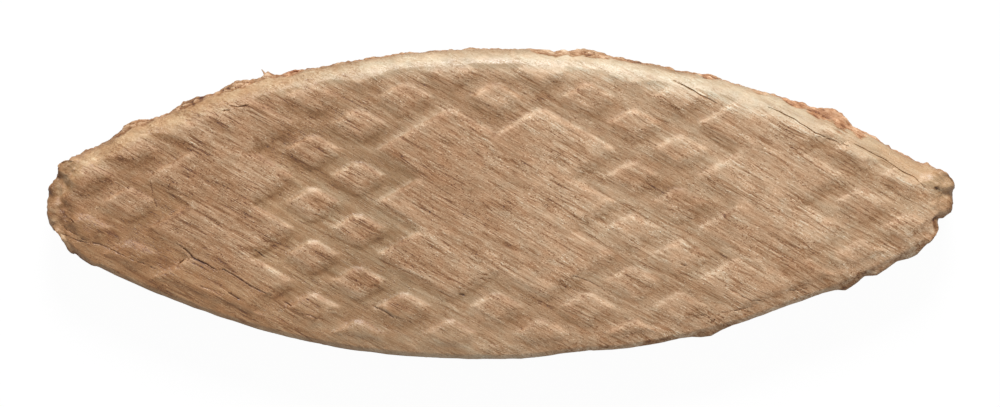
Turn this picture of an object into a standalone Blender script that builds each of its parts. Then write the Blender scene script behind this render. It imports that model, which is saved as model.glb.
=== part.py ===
"""Jointing biscuit: a lens of beech, pressed and stamped between two plates.

Blender 4.5, metres, +Z up. The biscuit lies flat with its length along X. Its origin is
on the surface that it lies on, under the middle of its box.
"""
import math
import random
from collections import namedtuple

import bmesh
import bpy
from mathutils import Matrix, Vector

# Overall form
LENGTH = 0.0530             # between the torn tips
WIDTH = 0.0182              # across the two long edges
TIP_WIDTH = 0.0054          # across the blunt ends, where the long edges stop
THICKNESS = 0.0040          # pad to pad
EDGE_ARC_SHIFT = -0.00055   # the long edges' widest place, left of the middle

# Blunt ends
TIP_TEAR = 0.00070          # torn fibre that stands past each end
END_BULGE = 0.00090         # how far an end swells between its two corners
END_ROUND = 0.00080         # rounding of an end's upper and lower border
END_STEPS = 14

# Rolled long edges, with the torn band that the plates leave between them
UPPER_ROUND = 0.00180       # from the torn band in to the roll's crown
LOWER_ROUND = 0.00160
UPPER_BAND = 0.00140        # torn band, from one plate's edge to the other's
LOWER_BAND = 0.00290        # higher, where the edge lies outside the plates' hollow
EDGE_CROWN = 0.00003        # how far a crown would stand over the pads
ROLL_FIRST_ANGLE = 18.0     # where the roll's first ring lies on its curve, in degrees
ROLL_STEPS = 6
ROLL_LIMIT = 0.9            # a roll's widest share of half an end
EDGE_STEPS = 84
STATION_JITTER = 0.30       # unevenness of the torn edge's points, in steps
BAND_UNEVENNESS = 0.00012   # up and down, from point to point
BITE_SHARPNESS = 3.0        # how abruptly a bite ends the torn fibre of a tip
BAND_ROUGHNESS = {"right": 0.00010, "upper": 0.00008, "left": 0.00010, "lower": 0.00003}

# Net of grooves, stamped in both faces
NET_PITCH_X = 0.00536       # pad to pad along the length
NET_PITCH_Y = 0.00307       # pad to pad across the width
NET_SHIFT_X = -0.00024      # the net's middle, from the biscuit's
NET_SHIFT_Y = -0.00014
GROOVE_DEPTH = 0.00016
GROOVE_FLOOR = 0.00056      # width of a groove's flat floor
GROOVE_SLOPE = 0.00027      # width of the slope up to a pad
PAD_CORNER = 0.00026        # rounding of a pad's corners
PAD_SHOULDER = 0.00008      # rounding between a pad and its slopes
MIDDLE_COLUMNS = 2          # plain figure in the middle, in half pitches from it
MIDDLE_ROWS = 3
SIDE_COLUMNS = (5, 7)       # plain bands towards the ends, first and last half pitch

# Torn pieces that stand out of the band: edge, place along it, half width, reach
TORN_PIECES = (
    ("upper", -0.0216, 0.0009, 0.00026),
    ("upper", -0.0181, 0.0010, 0.00014),
    ("upper", -0.0154, 0.0013, 0.00036),
    ("upper", -0.0137, 0.0007, 0.00040),
    ("upper", 0.0053, 0.0017, 0.00030),
    ("upper", 0.0124, 0.0008, 0.00016),
    ("upper", 0.0174, 0.0014, 0.00014),
    ("upper", 0.0196, 0.0014, 0.00052),
    ("lower", 0.0122, 0.0014, 0.00026),
    ("lower", 0.0203, 0.0010, 0.00032),
    ("lower", 0.0222, 0.0009, 0.00034),
    ("lower", 0.0241, 0.0013, 0.00030),
    ("right", 0.0010, 0.0008, 0.00012),
)

# Pieces through the whole thickness, in the same form, and lost where they reach inwards
THROUGH_PIECES = (
    ("upper", -0.0236, 0.0022, -0.00026),
    ("upper", -0.0198, 0.0014, -0.00020),
    ("upper", -0.0100, 0.0100, -0.00009),
    ("upper", 0.0105, 0.0026, -0.00012),
    ("upper", 0.0236, 0.0024, -0.00018),
    ("left", 0.0023, 0.0010, -0.00010),
    ("left", -0.0024, 0.0010, -0.00014),
    ("lower", -0.0250, 0.0014, -0.00016),
    ("lower", -0.0100, 0.0090, 0.00010),
    ("lower", 0.0045, 0.0034, -0.00018),
    ("lower", 0.0170, 0.0030, -0.00010),
    ("right", 0.0025, 0.0008, -0.00014),
    ("right", 0.0013, 0.0012, 0.00046),
    ("right", -0.0016, 0.0013, -0.00020),
)

# Worked out from the above
CORNER_X = LENGTH / 2 - TIP_TEAR - END_BULGE
EDGE_RISE = (WIDTH - TIP_WIDTH) / 2
EDGE_ARC_RADIUS = (CORNER_X ** 2 + EDGE_RISE ** 2) / (2 * EDGE_RISE)
HALF_THICKNESS = THICKNESS / 2
HALF_PITCH_X = NET_PITCH_X / 2
HALF_PITCH_Y = NET_PITCH_Y / 2

MERGE_DISTANCE = 1e-6
STRAIGHT_ANGLE = math.radians(5)
SHARP_ANGLE = math.radians(20)
SEED = 10

Station = namedtuple("Station", "edge share point outward place")


def edge_half_width(x, inset):
    """Half width of the lens at x, with its long arcs moved in by the inset."""
    reach = (EDGE_ARC_RADIUS - inset) ** 2 - (x - EDGE_ARC_SHIFT) ** 2
    return WIDTH / 2 - EDGE_ARC_RADIUS + math.sqrt(reach)


def section_value(edge, share, upper, lower):
    """A measure of the edge's section, which changes from side to side along an end."""
    upper_share = {"upper": 1.0, "lower": 0.0, "right": share, "left": 1 - share}[edge]
    return lower + (upper - lower) * upper_share


def roll_width(edge, share):
    """Width of the rolled edge, which the narrow ends limit."""
    return min(section_value(edge, share, UPPER_ROUND, LOWER_ROUND), ROLL_LIMIT * TIP_WIDTH / 2)


def outline_point(edge, share, turn):
    """Point on the outline, counter-clockwise by its share of one edge.

    The turn moves it in with the roll, from 0 at the torn band to 1 at the crown.
    """
    corner_x = CORNER_X - END_ROUND * turn
    inset = turn * roll_width(edge, share)
    if edge in ("upper", "lower"):
        side = 1 if edge == "upper" else -1
        x = side * corner_x * (1 - 2 * share)
        return Vector((x, side * edge_half_width(x, inset)))
    side = 1 if edge == "right" else -1
    angle = math.pi * (share - 0.5)
    corner_y = edge_half_width(side * corner_x, inset)
    x = corner_x + END_BULGE * math.cos(angle)
    return Vector((side * x, side * corner_y * math.sin(angle)))


def outline_stations(chance):
    """Every point round the outline, at slightly uneven steps, with its outward side."""
    marks = []
    for edge, steps in (("right", END_STEPS), ("upper", EDGE_STEPS),
                        ("left", END_STEPS), ("lower", EDGE_STEPS)):
        for step in range(steps):
            jitter = chance.uniform(-STATION_JITTER, STATION_JITTER) if step else 0.0
            share = (step + jitter) / steps
            marks.append((edge, share, outline_point(edge, share, 0.0)))
    stations = []
    for index, (edge, share, point) in enumerate(marks):
        along = marks[(index + 1) % len(marks)][2] - marks[index - 1][2]
        outward = Vector((along.y, -along.x)).normalized()
        place = point.x if edge in ("upper", "lower") else point.y
        stations.append(Station(edge, share, point, outward, place))
    return stations


def bump(distance, half_width):
    """Smooth hump, 1 in its middle and 0 from its half width on."""
    if abs(distance) >= half_width:
        return 0.0
    return 0.5 + 0.5 * math.cos(math.pi * distance / half_width)


def humps(pieces, station):
    """Sum of the pieces that reach a station of the outline."""
    return sum(reach * bump(station.place - middle, half_width)
               for edge, middle, half_width, reach in pieces if edge == station.edge)


def band_reach(station):
    """How far the torn band stands out, with the long fibres of the ends still on it."""
    through = humps(THROUGH_PIECES, station)
    if station.edge in ("left", "right"):
        bitten = sum(BITE_SHARPNESS * bump(station.place - middle, half_width)
                     for edge, middle, half_width, reach in THROUGH_PIECES
                     if edge == station.edge and reach < 0)
        fibres = TIP_TEAR * math.sin(math.pi * station.share)
        through = max(through, fibres * (1 - min(1.0, bitten)))
    return through + humps(TORN_PIECES, station)


def half_band(station):
    """Height of the torn band over its middle."""
    return section_value(station.edge, station.share, UPPER_BAND, LOWER_BAND) / 2


def roll_ring(stations, angle, side):
    """Ring of the rolled edge, from the torn band at 0 to the crown at a right angle."""
    ring = []
    for station in stations:
        point = outline_point(station.edge, station.share, 1 - math.cos(angle))
        point += station.outward * humps(THROUGH_PIECES, station)
        foot = half_band(station)
        height = foot + (HALF_THICKNESS + EDGE_CROWN - foot) * math.sin(angle)
        ring.append(Vector((point.x, point.y, side * height)))
    return ring


def band_ring(stations, side, chance):
    """Upper or lower ring of the torn band, as ragged as each edge is."""
    ring = []
    for station in stations:
        ragged = chance.uniform(-0.3, 1.0) * BAND_ROUGHNESS[station.edge]
        point = station.point + station.outward * (band_reach(station) + ragged)
        height = half_band(station) + chance.uniform(-BAND_UNEVENNESS, BAND_UNEVENNESS)
        ring.append(Vector((point.x, point.y, side * height)))
    return ring


def lens_blank():
    """The pressed lens before its faces are flattened, about its middle plane."""
    chance = random.Random(SEED)
    stations = outline_stations(chance)
    first = math.radians(ROLL_FIRST_ANGLE)
    step = (math.pi / 2 - first) / (ROLL_STEPS - 1)
    angles = [first + step * index for index in range(ROLL_STEPS)]
    rings = [roll_ring(stations, angle, -1) for angle in reversed(angles)]
    rings += [band_ring(stations, side, chance) for side in (-1, 1)]
    rings += [roll_ring(stations, angle, 1) for angle in angles]
    return loft(rings)


def loft(rings):
    """Closed body through rings of points that lie one above the other."""
    body = bmesh.new()
    loops = []
    for ring in rings:
        verts = [body.verts.new(point) for point in ring]
        loops.append([body.edges.new((verts[index - 1], verts[index]))
                      for index in range(len(verts))])
    for below, above in zip(loops, loops[1:]):
        bmesh.ops.bridge_loops(body, edges=below + above)
    for border in (loops[0], loops[-1]):
        bmesh.ops.edgeloop_fill(body, edges=border)
    bmesh.ops.recalc_face_normals(body, faces=body.faces)
    return body


def plain_region(face):
    """Which plain region a cell of the net lies in, or None where it is a pad."""
    centre = face.calc_center_median()
    column = round((centre.x - NET_SHIFT_X) / HALF_PITCH_X)
    row = round((centre.y - NET_SHIFT_Y) / HALF_PITCH_Y)
    if abs(column) <= MIDDLE_COLUMNS and abs(row) <= MIDDLE_ROWS:
        return "middle"
    if SIDE_COLUMNS[0] <= abs(column) <= SIDE_COLUMNS[1]:
        return "left" if column < 0 else "right"
    return None


def net_cells(sheet):
    """Sheet of rhombic cells at the depth of the groove floors, plain cells joined."""
    steps = 2 * math.ceil((LENGTH / HALF_PITCH_X + WIDTH / HALF_PITCH_Y) / 4) + 1
    floor = HALF_THICKNESS - GROOVE_DEPTH
    to_net = Matrix((
        (HALF_PITCH_X, HALF_PITCH_X, 0, NET_SHIFT_X),
        (-HALF_PITCH_Y, HALF_PITCH_Y, 0, NET_SHIFT_Y),
        (0, 0, 1, floor),
        (0, 0, 0, 1)))
    bmesh.ops.create_grid(sheet, x_segments=steps, y_segments=steps, size=steps / 2,
                          matrix=to_net)
    regions = {}
    for face in sheet.faces:
        regions.setdefault(plain_region(face), []).append(face)
    for name in ("middle", "left", "right"):
        bmesh.ops.dissolve_faces(sheet, faces=regions[name])
    return list(sheet.faces)


def raise_pads(sheet, cells):
    """Raise a pad out of each cell, with sloped sides, round corners and shoulders."""
    bmesh.ops.inset_individual(sheet, faces=cells, thickness=GROOVE_FLOOR / 2,
                               use_even_offset=True)
    bmesh.ops.inset_individual(sheet, faces=cells, thickness=GROOVE_SLOPE,
                               depth=GROOVE_DEPTH, use_even_offset=True)
    corners = []
    for pad in cells:
        for vert in pad.verts:
            corners += [edge for edge in vert.link_edges
                        if pad not in edge.link_faces and edge.is_convex
                        and edge.calc_face_angle() > STRAIGHT_ANGLE]
    bmesh.ops.bevel(sheet, geom=corners, offset=PAD_CORNER, segments=1, profile=0.5,
                    affect="EDGES", material=-1)
    pads = [face for face in sheet.faces
            if face.calc_center_median().z > HALF_THICKNESS - MERGE_DISTANCE]
    shoulders = {edge for pad in pads for edge in pad.edges}
    bmesh.ops.bevel(sheet, geom=list(shoulders), offset=PAD_SHOULDER, segments=1,
                    profile=0.5, affect="EDGES", material=-1)


def stamped_slab():
    """Closed slab with the net on both faces, about its middle plane."""
    slab = bmesh.new()
    raise_pads(slab, net_cells(slab))
    border = [edge for edge in slab.edges if edge.is_boundary]
    grown = bmesh.ops.extrude_edge_only(slab, edges=border)["geom"]
    for item in grown:
        if isinstance(item, bmesh.types.BMVert):
            item.co.z = 0.0
    bmesh.ops.mirror(slab, geom=slab.verts[:] + slab.edges[:] + slab.faces[:],
                     axis="Z", merge_dist=MERGE_DISTANCE)
    bmesh.ops.recalc_face_normals(slab, faces=slab.faces)
    return slab


def add_object(name, body):
    """Put a smoothly shaded body in the scene, with its middle plane half a thickness up."""
    bmesh.ops.translate(body, vec=(0, 0, HALF_THICKNESS), verts=body.verts)
    mesh = bpy.data.meshes.new(name)
    body.to_mesh(mesh)
    body.free()
    mesh.shade_smooth()
    mesh.set_sharp_from_angle(angle=SHARP_ANGLE)
    item = bpy.data.objects.new(name, mesh)
    bpy.context.scene.collection.objects.link(item)
    return item


def beech():
    """Compressed beech, dry and matt."""
    material = bpy.data.materials.new("compressed_beech")
    material.use_nodes = True
    shader = material.node_tree.nodes["Principled BSDF"]
    shader.inputs["Base Color"].default_value = (0.431, 0.264, 0.156, 1.0)
    shader.inputs["Roughness"].default_value = 0.75
    shader.inputs["Metallic"].default_value = 0.0
    return material


def main():
    for item in list(bpy.data.objects):
        bpy.data.objects.remove(item, do_unlink=True)
    biscuit = add_object("biscuit", lens_blank())
    plates = add_object("stamped_slab", stamped_slab())
    plates.hide_render = True
    plates.display_type = "WIRE"
    press = biscuit.modifiers.new("press", "BOOLEAN")
    press.operation = "INTERSECT"
    press.object = plates
    biscuit.data.materials.append(beech())


main()
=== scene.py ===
"""Looks of the jointing biscuit: compressed beech with a stamped net and a torn edge.

Every shape is worked out in millimetres in the row's frame, with +X towards the right
tip and +Z up, and is written to its mesh in metres. The grain runs across both.
"""

import math
from types import SimpleNamespace

import bmesh
import bpy
import numpy as np
from mathutils import Matrix, Vector, kdtree, noise
from mathutils.bvhtree import BVHTree


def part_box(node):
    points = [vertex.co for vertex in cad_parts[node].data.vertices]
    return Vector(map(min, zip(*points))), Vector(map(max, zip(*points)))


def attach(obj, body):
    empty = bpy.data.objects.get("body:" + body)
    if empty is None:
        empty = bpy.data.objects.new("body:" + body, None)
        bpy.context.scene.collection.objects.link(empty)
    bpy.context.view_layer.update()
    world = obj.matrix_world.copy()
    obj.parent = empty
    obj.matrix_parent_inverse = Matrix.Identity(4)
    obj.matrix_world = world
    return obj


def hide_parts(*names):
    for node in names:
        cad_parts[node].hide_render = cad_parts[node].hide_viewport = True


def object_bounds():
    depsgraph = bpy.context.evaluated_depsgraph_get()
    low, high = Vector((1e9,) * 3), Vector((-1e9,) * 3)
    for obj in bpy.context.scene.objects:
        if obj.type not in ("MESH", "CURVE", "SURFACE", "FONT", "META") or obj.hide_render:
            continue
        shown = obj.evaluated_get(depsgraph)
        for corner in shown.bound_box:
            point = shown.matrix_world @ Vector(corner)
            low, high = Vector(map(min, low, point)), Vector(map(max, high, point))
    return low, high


MM = 0.001

# Grain, as it lies in the photo: down to the right
GRAIN_ANGLE = math.radians(-30.0)
GRAIN_DRIFT = 0.35          # how far the fibres wander sideways
GRAIN_DRIFT_LENGTH = 16.0   # over what length they do

# Fine mesh of the wood
MESH_STEP = 0.126           # quad size across the grain
MESH_STRETCH = 1.5          # quad length along the grain, for each width
HIDDEN_DEPTH = 0.6          # how far below the middle the hidden part starts
HIDDEN_SHARE = 0.16         # how much of its mesh is kept
WELD = 1e-6                 # vertices nearer than this, in metres, are one
GRID = 0.06                 # step of the maps of the upper face

# Stamped pads: the level way out of each side. The lips are the sides towards +Y, and the feet,
# towards -Y, are worn to a long slope.
PAD_SIDES = {
    "lip_west": (-0.497, 0.868, 0.0), "lip_east": (0.497, 0.868, 0.0),
    "foot_west": (-0.497, -0.868, 0.0), "foot_east": (0.497, -0.868, 0.0),
}
PAD_SLOPE = 0.18            # fall of a worn foot for each millimetre outwards
PAD_SLOPE_REACH = 0.52      # how far out it goes
STEEP_SLOPE = 0.15          # a lip falls away faster than this
CRISP_NET = (320, 235, 210, 120)    # where the net is clearest: middle and half size, photo pixels
CRISP_ELSEWHERE = 0.4       # how clear it is away from there
NET_DEPTH = 0.25            # anything further below the face isn't part of the net
NET_MARGIN = (1.8, 2.2)     # how far in from the outline the net's edges begin to show

# Uneven layers of the wood: length along the grain, width across it, seed
GRAIN_LAYERS = {
    "bundle": (5.5, 0.52, 1.3),
    "fibre": (2.2, 0.20, 8.9),
    "swell": (4.2, 1.6, 15.1),
    "crumbs": (0.40, 0.24, 23.7),
    "lumps": (0.9, 0.6, 31.9),
    "patch": (3.0, 1.1, 37.3),
}
BUNDLE_CREST = 0.3          # value of a bundle's layer past which the bundle is flat

# Relief of the surface, at most
BUNDLE_RELIEF = 0.021       # rounded bundles of fibre, with a crease between them
FIBRE_RELIEF = 0.014
SWELL_RELIEF = 0.015
GROOVE_RECOVERY = 0.05      # how far stamped fibre springs back here and there
FAINT_NET = (790, 270, 220, 120)    # where it has sprung back most, as for CRISP_NET
FAINT_NET_RECOVERY = 0.050
TORN_RELIEF = 0.07
TIP_RELIEF = 0.055
FRINGE_RELIEF = 0.12
GROOVE_RELIEF = 0.015       # grooves look this much deeper where the wood has dried
LIP_RELIEF = 0.012          # raised fibre ends along the pads' upper left sides
TIP_LUMPS = 0.09            # how uneven the surface of a torn tip is
RIM_WIDTH = 1.45            # rolled edge, from the outline in to the stamped face
WARP = 0.05                 # how far a fibre weaves between its neighbours
WARP_LENGTH = 1.5

# Limits of the parts of the wood: where each begins and where it is full
SIDE_STEEPNESS = (0.15, 0.40)   # by the normal's share that goes a pad side's way
FACING_UP = (0.1, 0.5)          # by the normal's rise
HALVES = (-1.0, 1.0)            # by the place across, for the half at +Y
FAINT_HEIGHTS = (0.0, 0.5)      # by height over the middle, and so the next three
SHOWN_HEIGHTS = (-0.5, 0.2)
FRINGE_HEIGHTS = (-1.0, -0.4)
TIP_FORM_HEIGHTS = (0.2, 0.5)
TORN_HEIGHTS = (1.15, 0.85)     # by height over the middle or depth under it
TORN_DEPTH = (0.9, 0.5)         # by distance in from the outline
TIP_LENGTH = (1.5, 0.9)         # by distance from the end
RECESS_DEPTH = (0.02, 0.15)     # by depth under the face
RIM_BLUR = 0.4                  # half width of the rolled edge's inner border
EDGE_BLUR = 0.05                # and of the fringe's and the flank's
BORDER_REACH = (0.10, 0.02)     # by distance from the fringe's inner border
BORDERED = (0.10, 0.22)         # by the fringe's width
WALLED = (0.02, 0.06)           # by the flank's width

# Bands of the edge: by distance in from the outline, and by the place along it
ROLL_ENDS_ALONG = (-0.5, 14.5, 20.0)    # a middle and the limits from there, as the next three
ROLL_CREST_ALONG = (1.5, 18.0, 7.0)
ROLL_CREST = (0.55, 0.45, 0.0)
ROLL_INNER = (1.4, 0.6, 0.1)
ROLL_OUTER = (0.35, 0.1)
ROLL_INNER_ALONG = (-4.0, 3.0)
FRONT_RIM = (0.34, 0.08)
FRONT_LEFT = (4.0, 1.4)
FRONT_LEFT_ALONG = (9.0, -7.0)
POLISHED = (0.15, -0.60)        # beyond RIM_WIDTH
COARSE_ALONG = (-8.0, -13.0)

# Change of tone, at most
ROLL_TONE_AND_HIGHLIGHT = 0.09            # paler burnished wood with a painted highlight, on the rolled edge at +Y towards the lamp
ROLL_END_HIGHLIGHT = -0.05       # painted highlight that fades towards the ends, where the roll turns from the lamp
ROLL_CREST_HIGHLIGHT = 0.085     # painted highlight along its crest
ROLL_OUTER_SHADE = -0.10     # painted shade where it turns down to the parting line
ROLL_INNER_HIGHLIGHT = 0.11      # painted light where it meets the face, on the right
FRONT_RIM_LIGHT = 0.17       # painted light on the nearly square edge at -Y, which faces away from the lamp
FRONT_LEFT_TONE = -0.055    # in a wider band beside that edge, on the left
FLANK_SHADE = -0.30          # painted shade on the upward faces at the lower edge, for the flank in shadow below it
RECESS_SHADE = -0.06         # painted shade in the grooves
CREASE_SHADE = -0.04         # painted shade in the crease between two bundles of fibre
BORDER_SHADOW = -0.16         # painted shadow in the groove along the inner border of the torn fringe
BUNDLE_TONE = 0.20          # over a bundle of fibre, on the left
FRINGE_TONE_AND_SHADE = (-0.07, -0.10)   # of the torn fringe, and painted shade further in, under the rim
FRINGE_CRUMBS_AND_LIGHT = (0.25, 0.20)    # of its crumbs, and a painted highlight where they face up
TIP_TONES = (-0.04, 0.08, 0.25)     # of a torn tip, its lumps and its crumbs
SIDE_LIGHT_AND_SHADE = {              # painted highlight on the lips, which face the lamp, and painted shade on the feet: even part, and part that comes and goes along a pad's side
    "lip_west": (0.03, 0.10), "lip_east": (0.015, 0.08),
    "foot_west": (-0.02, -0.08), "foot_east": (-0.11, -0.08),
}
SHOULDER_HIGHLIGHT = (0.03, 0.06)    # painted highlight on a lip and the top of the pad beside it, in the same parts
CRACK_SHADE = (-0.32, -0.25)     # painted shade in a crack, in the same parts

# Cracks in the upper face: half width, depth, and the way they take in photo pixels
CRACKS = (
    (0.035, 0.090, ((672, 80), (695, 92), (716, 103))),
    (0.019, 0.054, ((716, 103), (728, 109), (740, 114))),
    (0.034, 0.070, ((768, 107), (782, 113), (797, 121), (815, 133), (832, 140), (848, 146))),
    (0.024, 0.060, ((848, 140), (866, 150), (885, 160), (900, 170), (915, 178), (924, 187),
                    (922, 196))),
    (0.038, 0.072, ((222, 111), (230, 110))),
    (0.032, 0.072, ((228, 105), (237, 107), (248, 105))),
    (0.022, 0.054, ((149, 181), (152, 194), (156, 207))),
    (0.019, 0.054, ((687, 319), (696, 316), (705, 315), (713, 322), (720, 313), (743, 309),
                    (754, 307))),
    (0.022, 0.054, ((723, 285), (733, 291), (751, 301), (759, 301))),
    (0.019, 0.048, ((713, 250), (736, 264))),
    (0.035, 0.072, ((680, 264), (686, 266))),
    (0.022, 0.054, ((568, 275), (583, 279), (600, 287), (613, 298))),
    (0.022, 0.054, ((788, 290), (799, 291), (806, 288))),
    (0.045, 0.072, ((458, 294), (464, 296))),
    (0.032, 0.066, ((371, 305), (377, 308), (392, 317), (397, 319))),
    (0.045, 0.090, ((935, 187), (939, 190))),
    (0.045, 0.090, ((70, 219), (73, 223))),
    (0.036, 0.100, ((179, 245), (186, 251), (194, 259), (206, 264), (217, 271))),
    (0.028, 0.085, ((217, 271), (223, 269), (233, 275), (250, 286), (271, 296))),
    (0.028, 0.070, ((185, 257), (182, 261), (178, 264))),
    (0.022, 0.060, ((57, 232), (78, 241), (101, 245), (120, 254), (132, 260), (154, 268))),
    (0.018, 0.050, ((63, 228), (84, 240), (112, 249))),
    (0.040, 0.080, ((228, 293), (234, 296), (240, 300))),
    (0.030, 0.070, ((255, 250), (259, 253), (264, 257))),
    (0.028, 0.070, ((282, 300), (293, 308), (302, 314), (309, 315), (318, 319))),
    (0.020, 0.050, ((195, 284), (212, 290), (228, 296))),
)
# Painted highlights along the lit edges of the net and painted shade along the shaded ones:
# half width in photo pixels, change of tone, and their way in photo pixels
EDGE_LIGHT_AND_SHADE = (
    (3.2, 0.11, ((151, 180), (170, 168), (187, 158))),
    (3.0, 0.07, ((272, 106), (295, 119))),
    (2.6, 0.07, ((266, 209), (292, 225))),
    (2.8, 0.08, ((378, 146), (410, 127), (443, 107))),
    (2.6, 0.06, ((450, 108), (490, 130))),
    (2.8, 0.09, ((502, 131), (539, 109))),
    (2.6, 0.06, ((546, 109), (580, 128), (612, 146))),
    (2.6, 0.08, ((700, 124), (728, 108))),
    (2.8, 0.08, ((700, 176), (730, 162))),
    (2.6, 0.06, ((700, 229), (722, 216))),
    (2.8, 0.06, ((812, 160), (840, 176))),
    (2.2, 0.03, ((858, 190), (888, 206))),
    (2.6, -0.05, ((810, 143), (840, 160), (872, 178))),
    (3.4, -0.17, ((151, 228), (170, 217), (188, 207))),
    (3.0, -0.07, ((716, 205), (732, 211))),
    (3.0, -0.06, ((716, 253), (732, 261))),
    (3.0, -0.06, ((728, 143), (736, 153))),
    (2.6, -0.05, ((266, 150), (292, 137))),
    (2.6, -0.06, ((396, 128), (384, 136), (376, 141))),
    (2.6, -0.07, ((540, 100), (520, 112), (508, 119))),
    (2.2, 0.06, ((384, 243), (412, 229))),
    (2.4, 0.08, ((384, 196), (410, 181))),
    (2.4, 0.07, ((392, 148), (420, 163))),
    (2.6, 0.05, ((702, 278), (726, 265))),
    (3.0, -0.07, ((264, 202), (280, 194), (294, 186))),
    (3.6, -0.09, ((108, 158), (138, 161), (160, 153))),
    (3.2, -0.07, ((76, 180), (96, 182), (110, 174))),
    (3.4, -0.07, ((158, 134), (176, 143), (193, 150))),
    (5.0, 0.07, ((118, 140), (146, 133))),
    (3.4, 0.06, ((170, 122), (196, 119))),
    (4.0, 0.09, ((94, 159), (104, 165), (113, 173))),
    (4.0, 0.05, ((77, 172), (82, 165), (91, 160))),
    (3.2, -0.09, ((90, 184), (104, 182), (116, 176))),
    (3.4, -0.06, ((74, 193), (90, 196), (104, 190))),
    (3.0, 0.06, ((104, 194), (114, 186), (124, 183))),
    (3.0, -0.05, ((134, 190), (144, 195), (152, 201))),
    (3.6, 0.07, ((112, 245), (122, 238), (131, 234), (142, 241), (152, 249))),
    (3.0, -0.05, ((104, 196), (114, 201), (124, 206))),
)

CRACK_REACH = 0.24          # how far round a crack the mesh is made finer
CRACK_CUTS = 2              # and into how many more parts an edge of it is cut
CRACK_WOBBLE = 0.05         # how far a crack strays from its way
CRACKED_ABOVE = 0.8         # height over the middle from which cracks open
FAR_AWAY = 9.0              # stands for a distance or height that no place has

# Torn fringe outside the rolled upper edge, in photo pixels: from, to, how wide and how red
FRINGES = (
    (60, 112, 1.5, 0.0), (112, 152, 6.0, 0.1), (152, 172, 2.0, 0.2), (172, 202, 6.0, 0.0),
    (202, 217, 2.0, 0.2), (217, 253, 7.0, 0.1), (253, 278, 4.0, 0.1), (278, 303, 2.5, 0.4),
    (303, 420, 1.4, 0.1), (420, 530, 1.0, 0.1), (530, 568, 5.0, 0.05), (568, 608, 8.0, 0.05),
    (608, 652, 3.0, 0.2), (652, 699, 1.2, 0.2), (699, 717, 4.0, 0.6), (717, 748, 1.4, 0.2),
    (748, 770, 3.0, 0.2), (770, 782, 1.5, 0.4), (782, 808, 5.0, 0.8), (808, 852, 13.0, 0.6),
    (852, 866, 8.0, 0.6), (866, 885, 2.0, 0.6), (885, 945, 1.5, 0.4),
)

# Torn tips: middle and half size in photo pixels, and the height of their surface in millimetres
TIP_FORMS = (
    (67, 165, 12, 14, 3.70), (57, 186, 13, 12, 3.40), (57, 212, 14, 15, 3.55), (61, 234, 13, 10, 3.60),
    (944, 180, 14, 14, 3.92), (941, 203, 14, 14, 3.70), (932, 232, 10, 14, 3.70),
)

# Outline pushed out or in: middle and half size in photo pixels, then right and up in pixels
PUSHES = (
    (60, 168, 8, 9, -4.5, 0.0), (72, 153, 11, 7, 0.0, -3.0), (50, 181, 6, 5, 3.5, 0.0),
    (87, 258, 15, 9, 0.0, -2.5), (938, 222, 6, 5, -2.0, 2.0), (951, 184, 7, 7, 1.5, 0.0),
)

# Places that are darker or paler than the wood round them: middle and half size in photo pixels,
# and change of tone. Some dark ones at the torn tips are painted shade in small hollows.
SPOTS = (
    (60, 171, 3.5, 10, -0.13), (58, 184, 4, 6, -0.10), (51, 191, 4.5, 8, -0.19),
    (49, 203, 3, 5, -0.10), (61, 210, 4, 15, -0.09), (66, 183, 5, 8, -0.04), (53, 210, 5, 2.5, 0.14),
    (53, 219, 5, 3.5, 0.14), (51, 214, 4, 1.2, -0.20), (47, 216, 3, 9, -0.14), (51, 231, 5, 6, -0.12),
    (66, 212, 6, 22, -0.05), (70, 200, 3, 4, -0.08), (90, 165, 18, 11, 0.09), (86, 188, 17, 6, -0.06),
    (88, 215, 17, 9, 0.06), (951, 205, 4, 11, -0.20), (943, 193, 8, 1.6, -0.18),
    (936, 188, 3, 2.5, -0.24), (942, 207, 7, 7, -0.04), (936, 228, 2.5, 14, -0.18),
    (944, 216, 8, 2, -0.14), (838, 116, 24, 11, -0.10), (797, 101, 16, 6, -0.07),
    (462, 295, 5, 3, -0.10), (948, 186, 6, 3, 0.05), (130, 190, 26, 10, -0.03),
)

# Painted shade at the lower edge, for the flank in shadow outside the face, in photo pixels: from, to,
# how wide
SHADED_FLANKS = (
    (60, 100, 1.5), (640, 680, 4.0), (690, 738, 4.0), (838, 870, 4.5), (870, 908, 4.5), (908, 955, 4.5),
)

# Single splinters at the torn edge: their way in photo pixels, half width there, height of their
# middle in millimetres, and how much paler and redder than the face they are
SPLINTERS = {
    "hook": (((279, 80), (273, 77), (267, 75), (263, 73), (260, 69)), 2.3, 2.75, 0.08, 0.15),
    "red_flake": (((277, 78), (285, 74), (294, 71), (302, 71), (306, 73)), 2.4, 2.55, -0.12, 0.9),
    "upper_strip": (((779, 99), (790, 103), (800, 107), (812, 109), (822, 110)), 2.6, 2.60, -0.06, 0.9),
    "tip_fibre_a": (((63, 207), (56, 207), (48, 209)), 1.5, 3.05, 0.10, 0.0),
    "tip_fibre_b": (((63, 213), (55, 213), (47, 214)), 1.5, 3.00, 0.12, 0.0),
    "tip_fibre_c": (((62, 220), (55, 220), (49, 222)), 1.6, 3.00, 0.08, 0.0),
    "tip_block": (((938, 196), (944, 199), (951, 203)), 4.0, 2.95, -0.12, 0.3),
}
SPLINTER_SIDES = 8
SPLINTER_CUTS = 3
SPLINTER_FLATNESS = 0.6     # its height for its width
SPLINTER_POINT = 0.12       # share of its width that is left at its far end
SPLINTER_DROP = 0.15        # how much lower its far end lies
SPLINTER_RELIEF = 0.07      # how uneven its surface is

# Photo
PHOTO_MIDDLE = (499.5, 203.5)       # pixel of the frame's origin
PIXEL = 0.05843                     # one photo pixel at the upper face, in millimetres
PHOTO_WIDTH_MM = 58.43

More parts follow.
